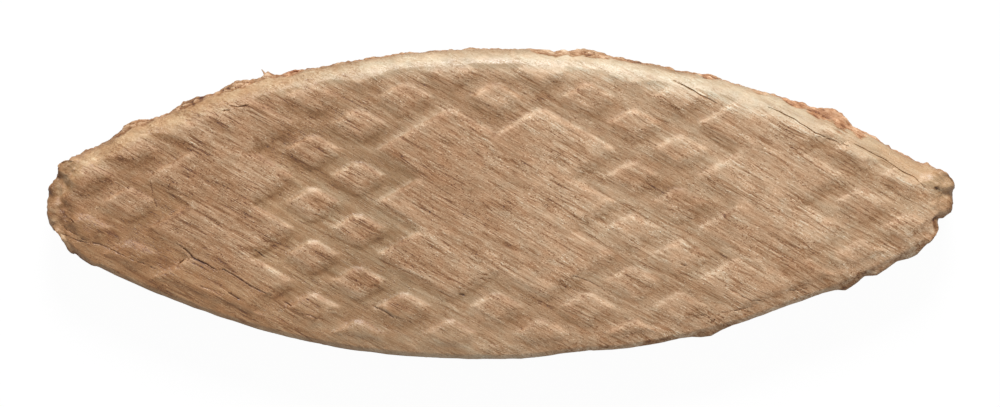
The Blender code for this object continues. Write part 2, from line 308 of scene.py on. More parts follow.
# Beech from its darkest fibre to its palest, by tone, as picture values
BEECH_TONES = (
    (0.00, (70, 40, 22)),
    (0.25, (118, 80, 50)),
    (0.40, (146, 108, 74)),
    (0.50, (162, 125, 92)),
    (0.59, (176, 141, 109)),
    (0.70, (193, 161, 130)),
    (0.82, (212, 183, 152)),
    (1.00, (233, 219, 196)),
)
SHEEN = 0.012               # light that the surface's own gloss adds to its colour

# Layers of beech: length along the grain and width across it in millimetres, detail, seed
BEECH_LAYERS = {
    "broad": (11.0, 2.2, 1.0, 3.1),
    "bands": (5.0, 0.46, 2.0, 11.3),
    "fibres": (1.0, 0.120, 3.0, 27.9),
    "mottle": (0.9, 0.7, 1.0, 33.1),
    "roughness": (2.2, 0.9, 2.0, 61.1),
    "dark_strokes": (0.36, 0.080, 2.0, 53.7),
    "dark_pits": (0.12, 0.085, 1.0, 41.3),
    "pale_pits": (0.11, 0.080, 1.0, 113.3),
    "pale_strokes": (0.25, 0.075, 2.0, 71.7),
    "lines": (7.0, 0.32, 1.0, 83.9),
    "line_patches": (2.4, 0.7, 2.0, 91.3),
    "hue": (0.8, 0.6, 1.0, 97.7),
}
# Marks of beech: the layer's value where one begins and is full, and its change of tone
BEECH_MARKS = {
    "dark_strokes": (0.56, 0.74, -0.20),
    "dark_pits": (0.56, 0.74, -0.26),
    "pale_pits": (0.57, 0.76, 0.23),
    "pale_strokes": (0.56, 0.74, 0.17),
}
LINE_TONE = -0.22           # of the long dark lines
# Strands of beech: length, width, seed and how far their tones differ
THICK_STRANDS = (3.2, 0.20, 5.3, 0.06)
THIN_STRANDS = (1.1, 0.10, 17.9, 0.12)
# Amount of each layer that is added to the tone
FIBRE_TONE = 0.66
BROAD_TONE = 0.34
BAND_TONE = 0.26
MOTTLE_TONE = 0.08
EVEN_TONES = (0.543, 0.682)     # of the whole face, from its left end to its right one
TONED_HALF_LENGTH = 24.0        # half the length over which it changes
TORN_TINT = (1.04, 0.80, 0.66, 1.0)     # raw torn fibre is redder than the pressed face
RIM_TINTS = ((0.935, 1.065, 1.13, 1.0), (0.985, 0.985, 0.90, 1.0))    # middle cream, partly a painted sheen where the roll faces the lamp; ends yellow
RIM_TINT_MIDDLE = 5.0           # where along the length the burnished wood is most cream
RIM_TINT_REACH = (11.0, 22.0)   # how far from there it begins to yellow and is full yellow
SMOOTHED_BETWEEN = (-14.0, 2.0)     # where the grain of burnished wood turns smoother still
SMOOTHED = (-0.42, -0.65)       # change of its contrast, left and right of that

# Stage
CAMERA_HEIGHT = 0.300
SENSOR_WIDTH = 36.0
SKY_STRENGTH = 0.36         # light that the white sky gives
KEY_PLACE = (0.012, 0.236, 0.185)
KEY_SIZE = 0.120
KEY_POWER = 0.93
FLOOR_SIZE = 1.6
FLOOR_GREY = 0.60
FLOOR_GLOW = 1.05           # what the camera sees of the floor, apart from the shadow
FLOOR_GLOW_SHARE = 0.915    # the rest is the floor with the shadow on it


def step_between(values, low, high):
    """Smooth step of an array, 0 at low and 1 at high, in either order."""
    share = np.clip((values - low) / (high - low), 0.0, 1.0)
    return share * share * (3.0 - 2.0 * share)


def band(values, middle, low, high):
    """Smooth step by how far an array is from a middle."""
    return step_between(np.abs(values - middle), low, high)


def height_step(heights, middle, limits):
    """Smooth step of heights between two limits over the middle."""
    return step_between(heights, middle + limits[0], middle + limits[1])


def grain_noise(grain, along, across, seed):
    """Noise of one value a point, drawn out along the grain."""
    scaled = grain / np.array((along, across, across)) + seed
    return np.array([noise.noise(point) for point in scaled.tolist()])


def grain_places(places):
    """Places in the grain's own frame: along it, across it and up, with a slow drift."""
    turn = np.array(Matrix.Rotation(-GRAIN_ANGLE, 3, "Z"))
    grain = places @ turn.T
    slow = grain_noise(grain, GRAIN_DRIFT_LENGTH, GRAIN_DRIFT_LENGTH / 3, 4.7)
    grain[:, 1] += GRAIN_DRIFT * slow
    return grain


def link_piece(name, mesh):
    """Object of a finished mesh, in the scene."""
    piece = bpy.data.objects.new(name, mesh)
    bpy.context.scene.collection.objects.link(piece)
    return piece


def solid_of(node):
    """The node's solid in millimetres."""
    solid = bmesh.new()
    solid.from_mesh(node.data)
    bmesh.ops.remove_doubles(solid, verts=solid.verts, dist=WELD)
    solid.transform(Matrix.Scale(1 / MM, 4))
    return solid


def modified(mesh, kind, settings, hidden_below=None):
    """The mesh as a modifier leaves it, which can work on what lies below a height alone."""
    helper = link_piece("helper", mesh)
    if hidden_below is not None:
        hidden = helper.vertex_groups.new(name="hidden")
        low = [vert.index for vert in mesh.vertices if vert.co.z < hidden_below]
        hidden.add(low, 1.0, "REPLACE")
    modifier = helper.modifiers.new("change", kind)
    for name, value in settings.items():
        setattr(modifier, name, value)
    depsgraph = bpy.context.evaluated_depsgraph_get()
    changed = bpy.data.meshes.new_from_object(helper.evaluated_get(depsgraph))
    bpy.data.objects.remove(helper)
    return changed


def remeshed(solid, middle):
    """The solid as an even mesh, its quads drawn out along the grain, coarser where hidden."""
    to_grain = Matrix.Diagonal((1 / MESH_STRETCH, 1, 1, 1)) @ Matrix.Rotation(-GRAIN_ANGLE, 4, "Z")
    turned = solid.copy()
    turned.transform(to_grain)
    mesh = bpy.data.meshes.new("solid")
    turned.to_mesh(mesh)
    turned.free()
    fine = modified(mesh, "REMESH", {"mode": "VOXEL", "voxel_size": MESH_STEP})
    below = middle - HIDDEN_DEPTH
    share = sum(vert.co.z < below for vert in fine.vertices) / len(fine.vertices)
    fewer = {"ratio": 1.0 - share * (1.0 - HIDDEN_SHARE), "vertex_group": "hidden"}
    fine = modified(fine, "DECIMATE", fewer, below)
    fine.transform(to_grain.inverted())
    return fine


def net_maps(solid, low, high):
    """Maps of the upper face seen from above: how far each foot is worn, the lips, and their shoulders
    for a painted highlight.
    """
    columns = np.arange(low.x / MM, high.x / MM, GRID)
    rows = np.arange(low.y / MM, high.y / MM, GRID)
    top = high.z / MM
    heights = np.full((len(rows), len(columns)), -1.0)
    down = Vector((0.0, 0.0, -1.0))
    for row, y in enumerate(rows):
        for column, x in enumerate(columns):
            hit = solid.ray_cast(Vector((x, y, top + 1.0)), down)[0]
            if hit is not None:
                heights[row, column] = hit.z
    net = np.where(heights > top - NET_DEPTH, heights, FAR_AWAY)
    worn = net.copy()
    for side in ("foot_west", "foot_east"):
        aside, ahead, _ = PAD_SIDES[side]
        for reach in np.arange(GRID, PAD_SLOPE_REACH, GRID):
            shift = (-round(ahead * reach / GRID), -round(aside * reach / GRID))
            moved = np.roll(net, shift, axis=(0, 1))
            worn = np.minimum(worn, moved + PAD_SLOPE * reach)
    inside = net < FAR_AWAY
    level = np.where(inside, net, top)
    steep = np.gradient(level, GRID)[0] < -STEEP_SLOPE
    steep |= np.roll(steep, 1, axis=0) | np.roll(steep, -1, axis=0)
    steep |= np.roll(steep, 1, axis=1) | np.roll(steep, -1, axis=1)
    shoulder = (steep | np.roll(steep, -1, axis=0) | np.roll(steep, -2, axis=0)).astype(float)
    for axis in (0, 1):
        shoulder = (np.roll(shoulder, 1, axis) + 2 * shoulder + np.roll(shoulder, -1, axis)) / 4
    return {"corner": (columns[0], rows[0]), "wear": np.where(inside, worn - net, 0.0),
            "lips": steep.astype(float), "shoulders": shoulder}


def sampled(maps, name, places):
    """Values of a map at places, between its points."""
    grid = maps[name]
    across = np.clip((places[:, 0] - maps["corner"][0]) / GRID, 0, grid.shape[1] - 1.001)
    along = np.clip((places[:, 1] - maps["corner"][1]) / GRID, 0, grid.shape[0] - 1.001)
    column, row = across.astype(int), along.astype(int)
    right, up = across - column, along - row
    below = grid[row, column] * (1 - right) + grid[row, column + 1] * right
    above = grid[row + 1, column] * (1 - right) + grid[row + 1, column + 1] * right
    return below * (1 - up) + above * up


def mesh_arrays(mesh):
    """Places and normals of a mesh's vertices."""
    count = len(mesh.vertices)
    places = np.empty(count * 3)
    mesh.vertices.foreach_get("co", places)
    normals = np.empty(count * 3)
    mesh.vertex_normals.foreach_get("vector", normals)
    return places.reshape(-1, 3), normals.reshape(-1, 3)


def edge_distances(places, middle):
    """Level distance of each place from the outline, read at the parting line."""
    near = places[np.abs(places[:, 2] - middle) < 2 * MESH_STEP]
    flank = kdtree.KDTree(len(near))
    for index, (x, y, _) in enumerate(near.tolist()):
        flank.insert((x, y, 0.0), index)
    flank.balance()
    return np.array([flank.find((x, y, 0.0))[2] for x, y, _ in places.tolist()])


def from_photo(pixels):
    """Places of photo pixels on the upper face, in millimetres."""
    places = (np.array(pixels, dtype=float) - PHOTO_MIDDLE) * PIXEL
    places[:, 1] *= -1.0
    return places


def nearness(places, pixel_x, pixel_y, half_x, half_y):
    """Share of a spot of the photo at each place: 1 in its middle, 0 past its half size."""
    middle = from_photo([(pixel_x, pixel_y)])[0]
    away = np.hypot((places[:, 0] - middle[0]) / (half_x * PIXEL),
                    (places[:, 1] - middle[1]) / (half_y * PIXEL))
    return step_between(away, 1.25, 0.55)


def shaded_flank_widths(places):
    """Width of the painted shade for the flank in shadow, beside each place of the lower edge."""
    pixels = places[:, 0] / PIXEL + PHOTO_MIDDLE[0]
    widths = np.zeros(len(places))
    for first, last, width in SHADED_FLANKS:
        share = np.clip((pixels - first) / (last - first), 0.0, 1.0)
        widths = np.maximum(widths, PIXEL * width * np.sqrt(np.sin(np.pi * share)))
    return widths


def fringe_widths(places):
    """Width and redness of the torn fringe beside each place of the upper edge."""
    pixels = places[:, 0] / PIXEL + PHOTO_MIDDLE[0]
    widths = np.zeros(len(places))
    redness = np.zeros(len(places))
    for first, last, width, red in FRINGES:
        inside = (pixels >= first) & (pixels < last)
        swell = np.sin(np.pi * np.clip((pixels - first) / (last - first), 0.0, 1.0))
        widths[inside] = (PIXEL * width * (0.45 + 0.55 * swell))[inside]
        redness[inside] = red
    return widths, redness


def crack_depths(places, upper):
    """Depth that a crack opens at each place of the upper face, and the way to the nearest."""
    level = places[:, :2] + CRACK_WOBBLE * np.stack([
        grain_noise(places, 0.5, 0.5, 5.1), grain_noise(places, 0.5, 0.5, 7.7)], axis=1)
    uneven = grain_noise(places, 0.35, 0.35, 12.9)
    depths = np.zeros(len(places))
    nearest = np.full(len(places), FAR_AWAY)
    for half_width, depth, pixels in CRACKS:
        bends = from_photo(pixels)
        lengths = np.linalg.norm(np.diff(bends, axis=0), axis=1)
        travelled = np.concatenate([[0.0], np.cumsum(lengths)]) / lengths.sum()
        for start, end, first, last in zip(bends, bends[1:], travelled, travelled[1:]):
            run = end - start
            share = np.clip((level - start) @ run / (run @ run), 0.0, 1.0)
            away = np.linalg.norm(level - start - share[:, None] * run, axis=1)
            along = first + (last - first) * share
            open_width = half_width * np.clip(6 * np.minimum(along, 1 - along), 0.35, 1.0)
            open_width *= 1.0 + 0.8 * uneven
            sunk = depth * np.clip(1.3 - away / open_width, 0.0, 1.0)
            depths = np.maximum(depths, sunk)
            nearest = np.minimum(nearest, away)
    depths[~upper] = 0.0
    nearest[~upper] = FAR_AWAY
    return depths, nearest


def painted_edge_tones(places):
    """Painted highlight and shade at each place along the edges of the net that stand out."""
    tones = np.zeros(len(places))
    for half_width, change, pixels in EDGE_LIGHT_AND_SHADE:
        bends = from_photo(pixels)
        away = np.full(len(places), FAR_AWAY)
        for start, end in zip(bends, bends[1:]):
            run = end - start
            share = np.clip((places[:, :2] - start) @ run / (run @ run), 0.0, 1.0)
            off = np.linalg.norm(places[:, :2] - start - share[:, None] * run, axis=1)
            away = np.minimum(away, off)
        tones += change * step_between(away, 1.3 * half_width * PIXEL, 0.5 * half_width * PIXEL)
    return tones


def refine(mesh, chosen, cuts):
    """Finer faces among the chosen vertices."""
    body = bmesh.new()
    body.from_mesh(mesh)
    body.verts.ensure_lookup_table()
    near = {body.verts[index] for index in np.nonzero(chosen)[0]}
    edges = [edge for edge in body.edges if edge.verts[0] in near and edge.verts[1] in near]
    bmesh.ops.subdivide_edges(body, edges=edges, cuts=cuts, use_grid_fill=True)
    body.to_mesh(mesh)
    body.free()


def finished(name, mesh, places, shade, burnish, red):
    """Smooth piece of a mesh with its vertices moved, and the masks that the material reads."""
    mesh.vertices.foreach_set("co", (places * MM).ravel())
    for mask, values in (("shade", shade), ("burnish", burnish), ("red", red)):
        made = mesh.attributes.new(mask, "FLOAT", "POINT")
        made.data.foreach_set("value", values.astype(np.float32))
    mesh.shade_smooth()
    mesh.update()
    return link_piece(name, mesh)


def fine_mesh(node, low, high):
    """The node's solid as a fine mesh, finest at the lips and round the cracks, and its maps."""
    top = high.z / MM
    middle = top / 2
    body = solid_of(node)
    mesh = remeshed(body, middle)
    solid = BVHTree.FromBMesh(body)
    body.free()
    maps = net_maps(solid, low, high)
    places, _ = mesh_arrays(mesh)
    upper = places[:, 2] > top - NET_DEPTH
    refine(mesh, upper & (sampled(maps, "lips", places) > 0.05), 1)
    places, _ = mesh_arrays(mesh)
    _, nearest = crack_depths(places, places[:, 2] > middle + CRACKED_ABOVE)
    refine(mesh, nearest < CRACK_REACH, CRACK_CUTS)
    for vert in mesh.vertices:
        vert.co = solid.find_nearest(vert.co)[0]
    return mesh, maps


def wood_layers(places):
    """The wood's uneven layers at each place, by name."""
    grain = grain_places(places)
    grain[:, 1] += WARP * grain_noise(grain, WARP_LENGTH, WARP_LENGTH / 2, 2.9)
    wood = SimpleNamespace()
    for name, sizes in GRAIN_LAYERS.items():
        setattr(wood, name, grain_noise(grain, *sizes))
    wood.bundle = np.abs(wood.bundle)
    wood.crest = np.minimum(wood.bundle, BUNDLE_CREST)
    wood.crease = step_between(wood.bundle, 0.10, 0.0) * step_between(wood.patch, -0.1, 0.25)
    return wood


def face_zones(places, normals, inward, upper, high):
    """Share that each place has in the parts of the stamped face and of the torn tips."""
    x, y, z = places.T
    middle = high.z / MM / 2
    level = np.abs(z - middle)
    zone = SimpleNamespace(net=upper * step_between(inward, *NET_MARGIN))
    for name, way in PAD_SIDES.items():
        setattr(zone, name, zone.net * step_between(normals @ np.array(way), *SIDE_STEEPNESS))
    zone.crisp = CRISP_ELSEWHERE + (1.0 - CRISP_ELSEWHERE) * nearness(places, *CRISP_NET)
    zone.faint = nearness(places, *FAINT_NET) * height_step(z, middle, FAINT_HEIGHTS)
    zone.shown = height_step(z, middle, SHOWN_HEIGHTS)
    zone.back_half = step_between(y, *HALVES)
    zone.front_half = 1.0 - zone.back_half
    zone.facing_up = step_between(normals[:, 2], *FACING_UP)
    zone.rim = step_between(inward, RIM_WIDTH + RIM_BLUR, RIM_WIDTH - RIM_BLUR)
    zone.recess = step_between(middle - level, *RECESS_DEPTH) * (1.0 - zone.rim)
    zone.torn = step_between(level, *TORN_HEIGHTS) * step_between(inward, *TORN_DEPTH)
    starts, full = (high.x / MM - length for length in TIP_LENGTH)
    zone.tip = zone.torn * step_between(np.abs(x), starts, full)
    return zone


def edge_zones(zone, places, inward, middle, wood):
    """Add the shares in the rolled edge at +Y, its torn fringe, and the square edge at -Y."""
    x, _, z = places.T
    widths, redness = fringe_widths(places)
    widths = widths * (1.0 + 0.4 * wood.lumps + 0.4 * wood.crumbs)
    seen = zone.back_half * height_step(z, middle, FRINGE_HEIGHTS)
    zone.fringe = step_between(inward - widths, EDGE_BLUR, -EDGE_BLUR) * seen
    zone.border = band(inward, widths, *BORDER_REACH) * seen * step_between(widths, *BORDERED)
    # Band of painted shade on the upward faces, for the flank in shadow
    walls = shaded_flank_widths(places) * (1.0 + 1.2 * wood.lumps)
    zone.flank = step_between(inward - walls, EDGE_BLUR, -EDGE_BLUR) * step_between(walls, *WALLED)
    zone.flank *= zone.front_half * zone.facing_up

    zone.roll = zone.rim * zone.back_half * (1.0 - zone.fringe)
    zone.roll_end = band(x, *ROLL_ENDS_ALONG)
    zone.roll_crest = band(inward, *ROLL_CREST) * band(x, *ROLL_CREST_ALONG)
    zone.roll_outer = step_between(inward, *ROLL_OUTER)
    zone.roll_inner = band(inward, *ROLL_INNER) * zone.back_half
    zone.roll_inner *= step_between(x, *ROLL_INNER_ALONG)
    zone.front_rim = step_between(inward, *FRONT_RIM) * zone.front_half * zone.facing_up
    zone.front_left = step_between(inward, *FRONT_LEFT) * zone.front_half
    zone.front_left *= step_between(x, *FRONT_LEFT_ALONG)

    polish = step_between(inward, RIM_WIDTH + POLISHED[0], RIM_WIDTH + POLISHED[1])
    polish *= zone.back_half * (1.0 - zone.fringe)
    coarse = zone.back_half * step_between(x, *COARSE_ALONG)
    coarse *= 1.0 - np.maximum(polish, zone.tip)
    zone.burnish = np.maximum(polish, 0.85 * np.maximum(zone.front_left, zone.recess * zone.crisp))
    zone.burnish -= 0.2 * coarse
    zone.red = np.maximum(zone.fringe * redness, np.maximum(0.35 * zone.tip, 0.15 * zone.front_left))


def wood_relief(wood, zone):
    """How far each place stands out of the solid."""
    relief = BUNDLE_RELIEF * (wood.crest / BUNDLE_CREST - 1.0)
    relief *= 0.35 + 0.65 * step_between(wood.patch, -0.3, 0.3)
    relief += FIBRE_RELIEF * wood.fibre + SWELL_RELIEF * wood.swell
    relief *= (1.0 - 0.6 * zone.rim) * (1.0 - 0.5 * zone.recess)
    relief += LIP_RELIEF * zone.lip_west * (0.8 + 0.8 * wood.lumps)
    recovery = GROOVE_RECOVERY * np.clip(wood.swell + 0.2, 0.0, 1.0) * (1.2 - zone.crisp)
    relief += zone.recess * (recovery + FAINT_NET_RECOVERY * zone.faint - GROOVE_RELIEF)
    relief += TORN_RELIEF * zone.torn * (wood.crumbs - 0.2)
    relief += FRINGE_RELIEF * zone.fringe * (0.6 * wood.crumbs + 0.3 * wood.lumps - 0.35)
    relief -= FRINGE_RELIEF * zone.border * 0.5
    relief += TIP_RELIEF * zone.tip * (0.5 * wood.crumbs + 0.8 * wood.lumps - 0.3)
    return relief


def wood_shade(places, inward, wood, zone, shoulders, cracked):
    """Change of tone at each place: from plates and age, and painted highlight and shade from the lamp.
    """
    # Paler burnished wood with painted highlight and shade on the rolled edge at +Y
    shade = zone.roll * (ROLL_TONE_AND_HIGHLIGHT + ROLL_END_HIGHLIGHT * zone.roll_end
                         + ROLL_CREST_HIGHLIGHT * zone.roll_crest + ROLL_OUTER_SHADE * zone.roll_outer)
    # Painted light on the square edge at -Y
    shade += ROLL_INNER_HIGHLIGHT * zone.roll_inner + FRONT_RIM_LIGHT * zone.front_rim
    # Painted shade on the flank below the square edge
    shade += FRONT_LEFT_TONE * zone.front_left + FLANK_SHADE * zone.flank
    # Painted highlight on the pads' lips and painted shade on their feet
    for name, (even, uneven) in SIDE_LIGHT_AND_SHADE.items():
        strength = 1.0 if name.startswith("lip") else zone.crisp
        shade += strength * getattr(zone, name) * (even + uneven * wood.lumps)
    # Painted highlight on the lips' shoulders
    even, uneven = SHOULDER_HIGHLIGHT
    shade += zone.net * zone.crisp * shoulders * (even + uneven * wood.lumps)
    shade += BUNDLE_TONE * step_between(places[:, 0], 5.0, -15.0) * (wood.crest - BUNDLE_CREST / 2)
    # Painted shade in the grooves and in the creases between bundles
    shade += RECESS_SHADE * zone.recess + CREASE_SHADE * wood.crease * (1.0 - zone.recess)
    # Painted shade in the cracks, and painted shadow along the fringe's border
    even, uneven = CRACK_SHADE
    shade += cracked * (even + uneven * wood.crumbs) + BORDER_SHADOW * zone.border
    # Torn fringe: its tone, painted highlight on crumbs facing up, painted shade under the rim
    crumbs, facing_up = FRINGE_CRUMBS_AND_LIGHT
    outer, inner_shade = FRINGE_TONE_AND_SHADE
    shade += zone.fringe * ((crumbs + facing_up * zone.facing_up) * wood.crumbs + outer
                            + inner_shade * step_between(inward, 0.15, 0.45))
    even, lumps, crumbs = TIP_TONES
    shade += zone.tip * (lumps * wood.lumps + crumbs * wood.crumbs + even)
    marks = painted_edge_tones(places)
    for x, y, half_x, half_y, change in SPOTS:
        marks += change * nearness(places, x, y, half_x, half_y)
    return shade + marks * zone.shown


def wood_piece(node):
    """The whole biscuit as one fine piece, with the relief and the masks of its wood."""
    low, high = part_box(node.name)
    top = high.z / MM
    middle = top / 2
    mesh, maps = fine_mesh(node, low, high)
    places, normals = mesh_arrays(mesh)
    inward = edge_distances(places, middle)
    upper = places[:, 2] > top - NET_DEPTH
    places[:, 2] += np.where(upper, sampled(maps, "wear", places), 0.0)
    normals[:, 2] = np.where(upper, np.maximum(normals[:, 2], 0.5), normals[:, 2])

    wood = wood_layers(places)
    zone = face_zones(places, normals, inward, upper, high)
    edge_zones(zone, places, inward, middle, wood)
    sunk, _ = crack_depths(places, places[:, 2] > middle + CRACKED_ABOVE)
    cracked = step_between(sunk, 0.01, 0.06)
    shade = wood_shade(places, inward, wood, zone, sampled(maps, "shoulders", places), cracked)

    moved = places + normals * wood_relief(wood, zone)[:, None]
    upper_half = height_step(places[:, 2], middle, TIP_FORM_HEIGHTS)
    for x, y, half_x, half_y, height in TIP_FORMS:
        share = nearness(places, x, y, half_x, half_y) * upper_half
        moved[:, 2] += share * (height + TIP_LUMPS * (wood.lumps + wood.crumbs) - moved[:, 2])
    for x, y, half_x, half_y, right, up in PUSHES:
        share = nearness(places, x, y, half_x, half_y)
        moved[:, 0] += share * right * PIXEL
        moved[:, 1] += share * up * PIXEL
    moved[:, 2] = np.clip(moved[:, 2] - sunk, 0.0, None)
    return finished("biscuit_wood", mesh, moved, shade, zone.burnish, zone.red)


def splinter(name, pixels, half_width, height, shade, red):
    """Thin piece of torn fibre, round in the middle of its way and pointed at its far end."""
    way = from_photo(pixels)
    body = bmesh.new()
    rings = []
    for number, (x, y) in enumerate(way):
        ahead = way[min(number + 1, len(way) - 1)] - way[max(number - 1, 0)]
        turn = math.atan2(ahead[1], ahead[0])
        share = number / (len(way) - 1)
        taper = math.sqrt(max(0.0, 1.0 - share ** 2))
        radius = half_width * PIXEL * (SPLINTER_POINT + (1.0 - SPLINTER_POINT) * taper)
        place = (Matrix.Translation((x, y, height - SPLINTER_DROP * share))
                 @ Matrix.Rotation(turn, 4, "Z")
                 @ Matrix.Rotation(math.radians(90.0), 4, "Y")
                 @ Matrix.Diagonal((SPLINTER_FLATNESS, 1.0, 1.0, 1.0)))
        made = bmesh.ops.create_circle(
            body, cap_ends=False, radius=radius, segments=SPLINTER_SIDES, matrix=place)
        rings.append({edge for vert in made["verts"] for edge in vert.link_edges})
    bmesh.ops.bridge_loops(body, edges=list(rings[0] | rings[1]))
    for before, after in zip(rings[1:], rings[2:]):
        bmesh.ops.bridge_loops(body, edges=list(before | after))
    bmesh.ops.holes_fill(body, edges=list(rings[0] | rings[-1]), sides=SPLINTER_SIDES)
    bmesh.ops.subdivide_edges(body, edges=body.edges[:], cuts=SPLINTER_CUTS, use_grid_fill=True)
    mesh = bpy.data.meshes.new(name)
    body.to_mesh(mesh)
    body.free()
    mesh.update()
    places, normals = mesh_arrays(mesh)
    crumbs = grain_noise(grain_places(places), 0.40, 0.20, 23.7)
    moved = places + normals * (SPLINTER_RELIEF * crumbs)[:, None]
    even = np.ones(len(places))
    return finished(name, mesh, moved, shade + 0.3 * crumbs, 0.0 * even, red * even)


def new_group(name, inputs, outputs):
    """Shader node group with named sockets; returns it with its input and output nodes."""
    group = bpy.data.node_groups.new(name, "ShaderNodeTree")
    for socket, kind, value in inputs:
        made = group.interface.new_socket(name=socket, in_out="INPUT", socket_type=kind)
        made.default_value = value
    for socket, kind in outputs:
        group.interface.new_socket(name=socket, in_out="OUTPUT", socket_type=kind)
    return group, group.nodes.new("NodeGroupInput"), group.nodes.new("NodeGroupOutput")


def add_node(tree, kind, settings=None, values=None):
    """Node of a kind, with its settings, and its sockets set to values or linked to others."""
    made = tree.nodes.new(kind)
    for key, value in (settings or {}).items():
        setattr(made, key, value)
    for key, value in (values or {}).items():
        socket = made.inputs[key]
        if isinstance(value, bpy.types.NodeSocket):
            tree.links.new(value, socket)
        else:
            socket.default_value = value
    return made


def maths(tree, operation, first, second=0.0, third=0.0, clamp=False):
    """Value of one sum of two or three values or sockets."""
    settings = {"operation": operation, "use_clamp": clamp}
    values = {0: first, 1: second, 2: third}
    return add_node(tree, "ShaderNodeMath", settings, values).outputs[0]


def ramp(tree, value, low, high, bottom=0.0, top=1.0):
    """Smooth change from bottom to top as a value goes from low to high."""
    settings = {"interpolation_type": "SMOOTHSTEP"}
    values = {"Value": value, "From Min": low, "From Max": high, "To Min": bottom, "To Max": top}
    return add_node(tree, "ShaderNodeMapRange", settings, values).outputs["Result"]


def blend_colours(tree, share, first, second, mode="MIX"):
    """Colour between two colours or sockets, by a share."""
    settings = {"data_type": "RGBA", "blend_type": mode}
    return add_node(tree, "ShaderNodeMix", settings, {0: share, 6: first, 7: second}).outputs[2]


def grain_frame_group():
    """Place in millimetres in the grain's frame, with the fibres' drift and weave."""
    tree, _, out = new_group("grain_frame", [], [("Place", "NodeSocketVector")])
    object_place = tree.nodes.new("ShaderNodeTexCoord").outputs["Object"]
    place = add_node(tree, "ShaderNodeMapping", None, {
        "Vector": object_place, "Rotation": (0.0, 0.0, -GRAIN_ANGLE),
        "Scale": (1 / MM, 1 / MM, 1 / MM)}).outputs[0]
    for along, across, aside in ((GRAIN_DRIFT_LENGTH, GRAIN_DRIFT_LENGTH / 3, GRAIN_DRIFT),
                                 (WARP_LENGTH, WARP_LENGTH / 2, WARP)):
        wander = streaks(tree, place, along, across, 1.0, along)
        shift = maths(tree, "MULTIPLY", maths(tree, "SUBTRACT", wander, 0.5), 2.4 * aside)
        shift = add_node(tree, "ShaderNodeCombineXYZ", None, {"Y": shift}).outputs[0]
        place = add_node(tree, "ShaderNodeVectorMath", {"operation": "ADD"},
                         {0: place, 1: shift}).outputs[0]
    tree.links.new(place, out.inputs["Place"])
    return tree


def stretched(tree, place, along, across, seed):
    """Place scaled so that one unit is the given length along and across the grain."""
    return add_node(tree, "ShaderNodeMapping", None, {
        "Vector": place, "Location": (seed, seed * 1.7, seed * 0.6),
        "Scale": (1 / along, 1 / across, 1 / across)}).outputs[0]


def streaks(tree, place, along, across, detail, seed):
    """Noise drawn out along the grain, centred on 0.5."""
    return add_node(tree, "ShaderNodeTexNoise", None, {
        "Vector": stretched(tree, place, along, across, seed),
        "Scale": 1.0, "Detail": detail, "Roughness": 0.6}).outputs["Fac"]


def strands(tree, place, along, across, seed):
    """Long fibres side by side, each of its own even tone from 0 to 1."""
    cells = add_node(tree, "ShaderNodeTexVoronoi", None, {
        "Vector": stretched(tree, place, along, across, seed), "Scale": 1.0})
    return add_node(tree, "ShaderNodeSeparateColor", None, {
        "Color": cells.outputs["Color"]}).outputs[0]


def add_tone(tree, tone, layer, amount):
    """Tone with a layer that is centred on 0.5 added, times an amount."""
    return maths(tree, "MULTIPLY_ADD", maths(tree, "SUBTRACT", layer, 0.5), amount, tone)


def paint(red, green, blue):
    """Base colour that renders as these picture values, once the surface's own sheen is taken off."""
    shares = [((value / 255 + 0.055) / 1.055) ** 2.4 - SHEEN for value in (red, green, blue)]
    return (*[max(share, 0.004) for share in shares], 1.0)


